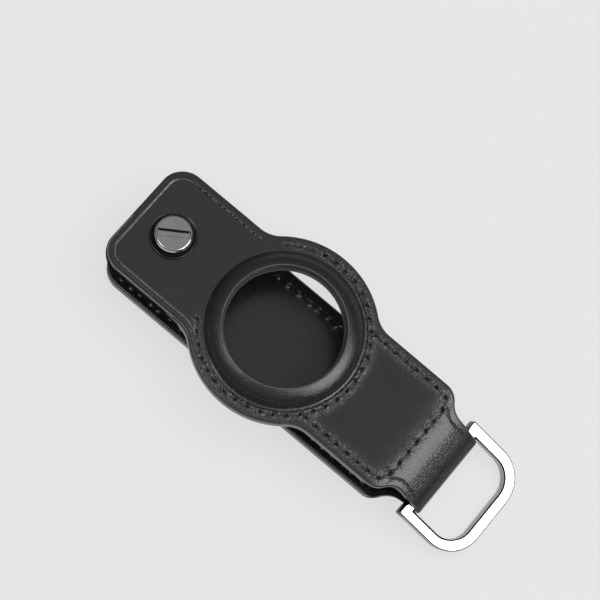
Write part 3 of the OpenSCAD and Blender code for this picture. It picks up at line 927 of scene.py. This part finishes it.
# ---------------------------------------------------------------- linings, each a closed slab under its leaf
def lining(name, s0, s1, front, target, holes, mats):
    """front: from s0 = free end to s1 at the neck; back: s0 at the neck to s1 = free end."""
    base = laid(front_end=s1) if front else laid(back_end=s0)
    if front:
        base = np.vstack([base, [[s1, 0.0]]])
    else:
        base = np.vstack([[[s0, 0.0]], base])
    hp = resample(base, 0.30)
    loop = closed(hp)
    nrm = inward(loop, 1)
    # the ends at the neck are square
    s_cut = s1 if front else s0
    blunt = np.abs(loop[:, 0] - s_cut) < 0.3
    n = len(loop)
    px = np.interp(loop[:, 0], DENSE, PX)
    ragged = 0.35 * wave(loop, 1.1, 72)

    def bare(i):
        """Where the edge is unpainted, at row i: the boundary slants."""
        return ((px + ragged < -18.0 + 0.35 * i) | (px + ragged > 34.6 - 0.3 * i)) & front | (px + ragged > 37.6 - 0.25 * i)

    g = grid(1.0, s1 - 0.4, 1.1, 1.0) if front else grid(s0 + 0.4, S_ALL - 1.0, 1.1, 1.0)
    top_u = 3.3
    inner = loop + nrm * top_u
    g = g[inside(g, inner) & far_from(g, inner, 0.3)]
    hl = []
    for c, r, m in holes:
        a = np.linspace(0, 2 * math.pi, m, endpoint=False)
        hl.append(np.stack([c + r * np.cos(a), r * np.sin(a)], -1))
        g = g[np.hypot(g[:, 0] - c, g[:, 1]) > r + 0.3]
    seam_rows = ROWS_FRONT if front else ROWS_BACK
    me = Mesh()
    s_a = s_front(36.3) if front else s_back(36.3)

    def at(p, t, bulge=0.0):
        """t = 0 against the outer leather, 1 on the open side."""
        h = -(HIDE + (LEAF - HIDE) * t)
        q = place(p[:, 0], p[:, 1], h)
        w = smooth(min(s_a, s_cut), max(s_a, s_cut), p[:, 0])
        w = w if front else 1 - w
        end = place(np.array([s_cut]), 0, -LEAF)[0]
        d = np.array([target[0] - end[0], 0, target[1] - end[2]])
        return q + (w * t)[:, None] * d

    def dips(p):
        d = near_rows(p, seam_rows)
        out = -0.02 * np.exp(-(d / 0.30) ** 2) + 0.02 * np.exp(-(d / 0.9) ** 2) * wave(p, 1.4, 41)
        r1 = np.random.default_rng(23)
        for row in seam_rows:
            for c in row:
                c = c + r1.normal(0, 0.08, 2)
                top, wide = r1.uniform(0.28, 0.42), r1.uniform(0.28, 0.38)
                side_ = r1.uniform(0.30, 0.5) * np.array([math.cos(r1.uniform(0, 6.28)), 1.0])
                q = p - c
                near_ = np.where(np.abs(q[:, 0]) < 1.5)[0]
                if len(near_):
                    q = q[near_]
                    out[near_] += 0.12 * top * np.exp(-(((q - side_) ** 2).sum(1) / wide ** 2)) + top * np.exp(-(((q + side_) ** 2).sum(1) / wide ** 2))
                    out[near_] -= 0.22 * np.exp(-((q ** 2).sum(1) / 0.17 ** 2))
        return out

    # hidden face
    lo_loop = me.add(at(loop, 0.0))
    rr2 = 0.42
    prof = [(0.0, 0.0)]
    rows = [lo_loop]
    thick = LEAF - HIDE
    for f in (0.2, 0.45, 0.7, 1 - rr2 / thick):
        d = HIDE + f * thick
        rows.append(me.add(at(loop - nrm * dome(d, LEAF), f)))
    for t in np.radians([20, 40, 60, 75, 90]):
        u = rr2 * (1 - math.cos(t))
        f = 1 - rr2 / thick * (1 - math.sin(t))
        bul = dome(HIDE + f * thick, LEAF) * (1 - u / rr2)
        p = loop + nrm * (u - bul)
        rows.append(me.add(at(p, f)))
    for u in (0.7, 1.0, 1.3, 1.55, 1.75, 1.9, 2.05, 2.2, 2.35, 2.5, 2.65, 2.8, 2.95, 3.1, top_u):
        p = loop + nrm * u
        q = at(p, 1.0)
        s = dips(p)
        q[:, 2] += (-s if front else s)
        rows.append(me.add(q))
    for i, (a, b) in enumerate(zip(rows[:-1], rows[1:])):
        me.strip(a, b, np.where(bare(i), 2, 1) if i < 8 else 0)
    fp, tr = fill([inner] + hl, g)
    wv = 0.03 * wave(fp, 14, 21)
    q = at(fp[n:], 1.0)
    q[:, 2] += wv[n:] * (1 if front else -1)
    ex = me.add(q)
    me.tris(np.concatenate([rows[-1], ex])[tr], 0, flip=True)
    ex0 = me.add(at(fp[n:], 0.0))
    in0 = me.add(at(inner, 0.0))
    me.strip(in0, lo_loop, 0)
    me.tris(np.concatenate([in0, ex0])[tr], 0)
    k = 0
    for c, r, m in holes:
        a, b = ex[k:k + m], ex0[k:k + m]
        me.strip(a, b, 0, flip=True)
        k += m
    return me.build(name, mats, 38)


S_FE = float(s_front(43.7))
S_BE = float(s_back(43.2))
front_lining = lining("front_lining_skin", 0.0, S_FE, True, (42.85, 6.81), [(S_RING, 16.15, 200), (S_SCREW, 2.15, 48)], [inner_mat, paint_mat, raw_mat])
back_lining = lining("back_lining_skin", S_BE, S_ALL, False, (42.85, 6.75), [(S_FLANGE, 2.86, 48)], [inner_mat, paint_mat, raw_mat])


# ---------------------------------------------------------------- thread: each stitch a twisted cord that dives into its holes
def stitches(name, rows, level, flat, mat, tilt=1.0):
    """level: height of the seam's face above the outer face (negative is inside); flat: +1 the stitch lies on the outer face, -1 on the lining's face."""
    me = Mesh()
    ns, nr = 12, 17
    ph = np.linspace(0, 2 * math.pi, ns, endpoint=False)
    r0 = np.random.default_rng(11)
    for row in rows:
        for a, b in zip(row[:-1], row[1:]):
            ab = b - a
            length = float(np.hypot(*ab))
            t = ab / length
            nn = np.array([-t[1], t[0]])
            j = r0.uniform(-1, 1, 3)
            prev = None
            for k in range(nr):
                f = k / (nr - 1)
                e = 2 * f - 1
                along = 0.5 + 0.5 * e * 0.97
                lat = tilt * (0.16 * e + 0.03 * j[0]) * flat
                lift = 0.04 * (1 - abs(e) ** 5) - 0.62 * abs(e) ** 9 + 0.03 * j[1]
                rad = 0.175 * (1 - 0.25 * abs(e) ** 8)
                c = a + ab * along + nn * lat
                ang = ph + 2 * math.pi * 2.4 * f
                rr3 = rad * (1 + 0.16 * np.cos(3 * ang))
                off_n = rr3 * np.cos(ph)
                off_h = rr3 * np.sin(ph) * 0.82
                p = c[None] + nn[None] * off_n[:, None]
                h = level + flat * (lift + off_h)
                cur = me.add(place(p[:, 0], p[:, 1], h))
                if prev is not None:
                    me.strip(prev, cur, 0, flip=(flat < 0))
                else:
                    me.fan(cur, 0, flip=(flat > 0))
                prev = cur
            me.fan(prev, 0, flip=(flat < 0))
    return me


front_top = stitches("front_thread", ROWS_FRONT, -0.31, 1, thread)
front_under = stitches("front_thread_under", ROWS_FRONT[:1] + ROWS_FRONT[1:3], -LEAF - 0.0, -1, thread)
back_top = stitches("back_thread", ROWS_BACK, -LEAF + 0.34, -1, thread)
back_under = stitches("back_thread_under", ROWS_BACK, -0.36, 1, thread)
front_thread = front_top.build("front_thread", [thread], None)
front_thread_b = front_under.build("front_thread_under", [thread], None)
back_thread = back_top.build("back_thread", [thread], None)
back_thread_b = back_under.build("back_thread_under", [thread], None)


# ---------------------------------------------------------------- turned pieces
def turned(name, profile, mats, cx, n=96, z0=0.0, closed_profile=True, sharp=38):
    """A piece turned about a vertical axis: profile is (r, z), material."""
    me = Mesh()
    a = np.linspace(0, 2 * math.pi, n, endpoint=False)
    rows, ms = [], []
    for r, z, m in profile:
        if r < 1e-6:
            rows.append(me.add([[cx, 0, z0 + z]]))
        else:
            rows.append(me.add(np.column_stack([cx + r * np.cos(a), r * np.sin(a), np.full(n, z0 + z)])))
        ms.append(m)
    pairs = list(zip(rows, rows[1:] + ([rows[0]] if closed_profile else []), ms))
    for x, y, m in pairs:
        if len(x) == 1 and len(y) == 1:
            continue
        if len(x) == 1:
            for i in range(n):
                me.f.append((int(x[0]), int(y[(i + 1) % n]), int(y[i])))
                me.m.append(m)
        elif len(y) == 1:
            for i in range(n):
                me.f.append((int(y[0]), int(x[i]), int(x[(i + 1) % n])))
                me.m.append(m)
        else:
            me.strip(x, y, m)
    return me.build(name, mats, sharp)


def rounded(points, radius=0.12, steps=3):
    """Rounds the corners of a closed profile of (r, z)."""
    p = np.array(points, float)
    out = []
    n = len(p)
    for i in range(n):
        a, b, c = p[i - 1], p[i], p[(i + 1) % n]
        u, v = a - b, c - b
        lu, lv2 = np.hypot(*u), np.hypot(*v)
        if b[0] < 1e-6 or lu < 1e-6 or lv2 < 1e-6:
            out.append(b)
            continue
        rr4 = min(radius, lu * 0.45, lv2 * 0.45)
        for f in np.linspace(0, 1, steps + 1):
            s, e = b + u / lu * rr4, b + v / lv2 * rr4
            q = (1 - f) ** 2 * s + 2 * f * (1 - f) * b + f * f * e
            out.append(q)
    return [(max(q[0], 0.0), q[1], 0) for q in out]


post = turned("post_body", rounded([(0.0, 0.0), (5.0, 0.0), (5.0, 0.9), (2.8, 0.9), (2.8, 3.02), (3.0, 3.02), (3.0, 11.0), (2.05, 11.0), (2.05, 4.5), (0.0, 4.5)], 0.14),
              [dark_nickel], SCREW_X, 96)
wash = turned("washer_ring", rounded([(2.1, -0.06), (4.85, -0.06), (4.9, 0.12), (4.65, 0.40), (2.1, 0.40)], 0.12), [washer_shade_mat], SCREW_X, 96, FRONT_Z)


def screw_mesh():
    me = Mesh()
    n = 128
    top = FRONT_Z + 0.4 + 1.9
    # slot outline, rounded at its four corners
    L, W, c = 3.5, 0.76, 0.22
    per = []
    for sx, sy, a0 in ((1, 1, 0), (-1, 1, 90), (-1, -1, 180), (1, -1, 270)):
        for t in np.radians(np.linspace(a0, a0 + 90, 6)):
            per.append((sx * (L - c) + c * math.cos(t), sy * (W - c) + c * math.sin(t)))
    per = np.array(per + per[:1])
    ang = np.linspace(0, 2 * math.pi, n, endpoint=False)
    # the slot's outline is met by rays whose angle is squeezed towards its long sides
    d = np.concatenate([[0], np.cumsum(np.hypot(*np.diff(per, axis=0).T))])
    u = np.linspace(0, d[-1], n, endpoint=False)
    slot = np.stack([np.interp(u, d, per[:, 0]), np.interp(u, d, per[:, 1])], -1)
    th = np.unwrap(np.arctan2(slot[:, 1] * 2.2, slot[:, 0]))
    rot = math.radians(34.5)
    cr, sr = math.cos(rot), math.sin(rot)

    def at(xy, z):
        x, y = xy[:, 0] * cr - xy[:, 1] * sr, xy[:, 0] * sr + xy[:, 1] * cr
        z = np.broadcast_to(z, x.shape)
        return me.add(np.column_stack([SCREW_X + x, y, z]))

    def circ(r):
        return np.stack([r * np.cos(th), r * np.sin(th)], -1)

    def crown(xy):
        r = np.hypot(*xy.T)
        return top - 0.05 * (r / 4.0) ** 2

    rows = [at(slot * [0.965, 0.84], top - 0.9), at(slot * [0.985, 0.90], top - 0.9), at(slot * [0.995, 0.97], top - 0.86), at(slot, top - 0.78), at(slot, top - 0.30), at(slot, crown(slot) - 0.09),
            at(slot * [1.004, 1.02], crown(slot) - 0.03), at(slot * [1.020, 1.11], crown(slot)), at(slot * [1.028, 1.15], crown(slot))]
    lip = slot * [1.028, 1.15]
    for f in (0.25, 0.5, 0.75, 0.96, 1.0):
        p = lip * (1 - f) + circ(3.56) * f
        rows.append(at(p, crown(p)))
    rim0 = len(rows)
    # rounded shoulder, then a steeper bevel down to the side
    for r, z in ((3.62, -0.041), (3.68, -0.047), (3.75, -0.067), (3.82, -0.096), (3.90, -0.144), (3.98, -0.216), (3.995, -0.238), (4.17, -0.488), (4.20, -0.533),
                 (4.235, -0.62), (4.25, -0.74), (4.25, -1.2), (4.25, -1.75),
                 (4.22, -1.84), (4.14, -1.9), (3.0, -1.9), (1.85, -1.9)):
        rows.append(at(circ(r), top + z))
    # shank, with the thread's grooves below the leather
    z = -1.95
    rows.append(at(circ(1.75), top + z))
    rows.append(at(circ(1.75), top - 4.6))
    zz = -4.6
    while zz > -8.6:
        rows.append(at(circ(1.75), top + zz - 0.10))
        rows.append(at(circ(1.50), top + zz - 0.30))
        rows.append(at(circ(1.50), top + zz - 0.36))
        rows.append(at(circ(1.75), top + zz - 0.56))
        zz -= 0.6
    rows.append(at(circ(1.70), top - 9.0))
    rows.append(at(circ(1.40), top - 9.1))
    me.fan(rows[0], 0)
    # slot walls in painted shade; the bevel below the shoulder in a lighter copy of the dark nickel, a painted
    # highlight
    for i, (a, b) in enumerate(zip(rows[:-1], rows[1:])):
        me.strip(a, b, 1 if 1 <= i <= 6 else 2 if rim0 + 5 <= i <= rim0 + 8 else 0, flip=True)
    me.fan(rows[-1], 0, flip=True)
    return me.build("screw_body", [dark_nickel, shade_mat, nickel_painted_highlight], 36)


screw = screw_mesh()


# ---------------------------------------------------------------- D-ring: one bent wire of bevelled section
def d_ring_mesh():
    me = Mesh()
    hw, ht = 1.3, 1.2
    # the path of a point that lies w outside the wire's middle line: a rectangle with two square and two round corners
    yc, x1, rc = 13.2 - 1.3, 16.5 - 1.3, 8.0 - 1.3
    stations = []

    def station(w):
        far = rc + w
        sq = 0.22 if w < 0 else 0.22 + 0.16 * (w / hw)
        pts_ = []
        xa, ya, xb = -w, yc + w, x1 + w
        # bar, from -y to +y
        for f in np.linspace(-1, 1, 41):
            pts_.append((xa, f * (ya - sq)))
        for t in np.radians(np.linspace(180, 90, 7))[1:-1]:
            pts_.append((xa + sq + sq * math.cos(t), ya - sq + sq * math.sin(t)))
        for f in np.linspace(0, 1, 9):
            pts_.append((xa + sq + f * (x1 - rc - xa - sq), ya))
        for t in np.radians(np.linspace(90, 0, 33))[1:]:
            pts_.append((x1 - rc + far * math.cos(t), yc - rc + far * math.sin(t)))
        for f in np.linspace(1, -1, 15)[1:-1]:
            pts_.append((xb, f * (yc - rc)))
        for t in np.radians(np.linspace(0, -90, 33))[:-1]:
            pts_.append((x1 - rc + far * math.cos(t), -(yc - rc) + far * math.sin(t)))
        for f in np.linspace(1, 0, 9):
            pts_.append((xa + sq + f * (x1 - rc - xa - sq), -ya))
        for t in np.radians(np.linspace(-90, -180, 7))[1:-1]:
            pts_.append((xa + sq + sq * math.cos(t), -(ya - sq) + sq * math.sin(t)))
        return np.array(pts_)

    # section with rounded bevels; wider bevels on the bar, inside the leather
    def section_pts(bo, bi, bl, rim):
        out = []
        for sx, sy, bev in ((1, 1, bo), (-1, 1, bi), (-1, -1, bl), (1, -1, bl)):
            cx, cy = sx * (hw - bev), sy * (ht - bev)
            a0 = math.degrees(math.atan2(sy, sx)) - 45
            for t in np.radians(np.linspace(a0, a0 + 90, 6)):
                out.append((cx + bev * math.cos(t), cy + bev * math.sin(t)))
            if (sx, sy) == (1, 1):
                out.append((hw - bev - rim, ht))
        return np.array(out)

    arm, bar, low = section_pts(0.20, 0.34, 0.20, 0.15), section_pts(0.80, 0.80, 0.80, 0.10), section_pts(0.20, 0.62, 0.20, 0.15)
    m = len(arm)
    npts = len(station(0.0))
    pos = station(0.0)
    barness = (1 - smooth(9.0, 10.6, np.abs(pos[:, 1]))) * (np.abs(pos[:, 0]) < 0.3)
    lowness = (1 - barness) * smooth(-5.5, -10.5, pos[:, 1]) * (1 - smooth(9.0, 13.5, pos[:, 0]))
    tilt = math.radians(18.8)
    rows = []
    for k in range(m):
        t = arm[k, 1] * (1 - barness - lowness) + bar[k, 1] * barness + low[k, 1] * lowness
        wa, wb, wc = station(arm[k, 0]), station(bar[k, 0]), station(low[k, 0])
        xy = wa * (1 - barness - lowness)[:, None] + wb * barness[:, None] + wc * lowness[:, None]
        x = BAR[0] + xy[:, 0] * math.cos(tilt) + t * math.sin(tilt)
        z = BAR[1] - xy[:, 0] * math.sin(tilt) + t * math.cos(tilt)
        rows.append(me.add(np.column_stack([x, xy[:, 1], z])))
    # polished top; painted shade on the sides and bevels, which are darker copies of the nickel, darkest on the bevels
    # and on the ends beside the leather
    q = station(0.0)
    ends = np.where((q[:, 0] < 0.3) | (np.roll(q, -1, 0)[:, 0] < 0.3), 1, 0)
    for k, (a, b) in enumerate(zip(rows, rows[1:] + rows[:1])):
        if k == 6 or k == 18:
            mat = 0
        elif 19 <= k <= 24:
            mat = np.where(ends, 2, 1)
        elif 12 <= k <= 17:
            mat = 1
        else:
            mat = 2
        me.strip(a, b, mat)
    return me.build("ring_wire", [nickel, side_nickel_painted_shade, edge_nickel_painted_shade], 50)


dring = d_ring_mesh()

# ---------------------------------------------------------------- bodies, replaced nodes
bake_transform(outer)
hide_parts("front_leather", "loop_leather", "back_leather")
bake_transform(front_lining)
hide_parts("front_lining")
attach(back_lining, "base")
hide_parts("back_lining")
for o, body, nodes_ in ((front_thread, "front_leaf", ["front_stitching"]), (front_thread_b, "front_leaf", []),
                        (back_thread, "base", ["back_stitching"]), (back_thread_b, "base", [])):
    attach(o, body)
    if nodes_:
        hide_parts(*nodes_)
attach(dring, "d_ring")
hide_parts("d_ring")
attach(post, "base")
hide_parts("post")
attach(wash, "washer")
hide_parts("screw_washer")
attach(screw, "screw")
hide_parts("screw")
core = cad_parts["ring_core"]
core.data.materials.clear()
core.data.materials.append(foam_mat)

# ---------------------------------------------------------------- floor, light, camera
# a pale light table: part of its light comes from below, so shadows stay faint
fm, nt, b = material("studio_floor", Roughness=0.9, Specular_IOR_Level=0.0, Emission_Color=(1, 1, 1, 1), Emission_Strength=0.64)
fn = noise(nt, coords(nt), 14, 3, 0.5)
nt.links.new(ramp(nt, fn, [(0.3, 0.159), (0.7, 0.161)]), b.inputs["Base Color"])
bpy.ops.mesh.primitive_plane_add(size=6, location=(0, 0, -0.00004))
floor = bpy.context.object
floor.name = "studio_floor"
floor.data.materials.append(fm)

world = bpy.data.worlds.new("studio")
bpy.context.scene.world = world
world.use_nodes = True
wt = world.node_tree
wc = wt.nodes.new("ShaderNodeTexCoord")
ws = wt.nodes.new("ShaderNodeSeparateXYZ")
wt.links.new(wc.outputs["Generated"], ws.inputs["Vector"])
wt.links.new(ramp(wt, ws.outputs["Z"], [(0.0, 0.14), (0.40, 0.22), (0.85, 0.62), (1.0, 0.66)]), wt.nodes["Background"].inputs["Color"])
wt.nodes["Background"].inputs["Strength"].default_value = 1.0


def softbox(name, direction, dist, sx, sy, power, lights, target=(0.0, 0.0, 0.01)):
    d = Vector(direction).normalized()
    li = bpy.data.lights.new(name, "AREA")
    li.shape = "RECTANGLE"
    li.size, li.size_y = sx, sy
    li.energy = power
    ob = bpy.data.objects.new(name, li)
    bpy.context.scene.collection.objects.link(ob)
    ob.location = Vector(target) + d * dist
    ob.rotation_euler = d.to_track_quat("Z", "Y").to_euler()
    ob.visible_diffuse = lights == "dull"
    ob.visible_glossy = lights == "gloss"
    return ob


# two softboxes that the gloss mirrors, and one broad light that only the dull surfaces take
softbox("key", (0.66, 0.16, 0.73), 1.1, 0.80, 0.84, 11.5, "gloss")
softbox("fill", (-0.26, -0.28, 0.93), 1.2, 0.30, 0.32, 2.2, "gloss")
softbox("top", (0.22, 0.24, 0.94), 1.4, 1.7, 1.7, 16.0, "dull")

scene = bpy.context.scene
scene.view_settings.view_transform = "Standard"
scene.view_settings.look = "None"
scene.view_settings.exposure = 0.0
scene.view_settings.gamma = 1.0

az, el, roll = (math.radians(a) for a in (16.006, 75.082, 24.398))
back = Vector((math.sin(az) * math.cos(el), -math.cos(az) * math.cos(el), math.sin(el)))
side_on = Vector((math.cos(az), math.sin(az), 0.0))
right = side_on * math.cos(roll) + back.cross(side_on) * math.sin(roll)
aim = Vector((RX * MM, 0, FRONT_Z * MM))
cam = bpy.data.cameras.new("camera")
cam.sensor_width = 36.0
cam.sensor_fit = "HORIZONTAL"
cam.lens = 4.68 * 420 / 600 * 36.0
cam.shift_x = (300 - 284.133) / 600
cam.shift_y = (328.818 - 300) / 600
cam.clip_start = 0.01
cam.clip_end = 20
camera = bpy.data.objects.new("camera", cam)
scene.collection.objects.link(camera)
camera.location = aim + back * 0.420
camera.rotation_euler = Matrix((right, back.cross(right), back)).transposed().to_euler()
scene.camera = camera
